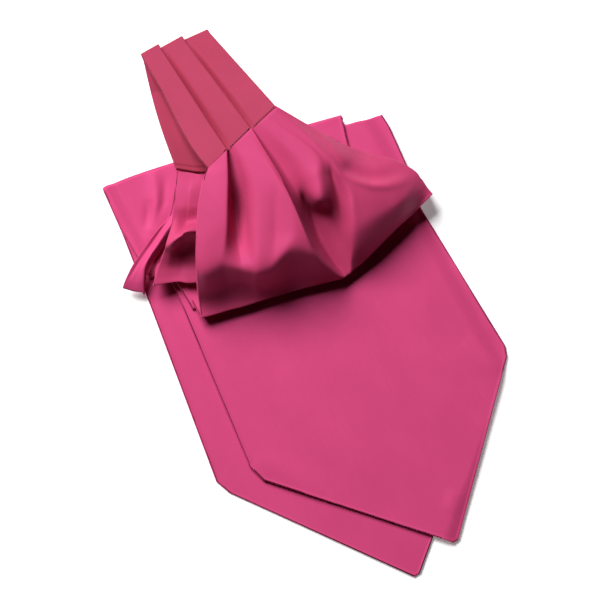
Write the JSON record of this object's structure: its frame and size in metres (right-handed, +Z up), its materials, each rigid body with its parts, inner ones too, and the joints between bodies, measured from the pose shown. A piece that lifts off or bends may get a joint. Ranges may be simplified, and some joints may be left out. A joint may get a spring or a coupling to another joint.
{
  "type": "silk cravat",
  "caption": "Pre-pleated silk satin cravat with a pleated neck band and wide pointed blades, folded in two and laid flat.",
  "frame": {"origin": "on the surface the cravat lies on, below the middle of its box", "axes": "+Y along the cravat, from the blades' points to the fold of the neck band; +Z up out of the surface; +X to the right, seen from above"},
  "size_m": [0.1749, 0.3241, 0.0389],
  "materials": {
    "satin": "deep pink silk satin, softly shiny"
  },
  "bodies": {
    "root": {"neck_band": "satin", "front_fan": "satin", "front_blade": "satin", "rear_fan": "satin", "rear_hem_pleat": "satin", "rear_blade": "satin"}
  },
  "joints": []
}
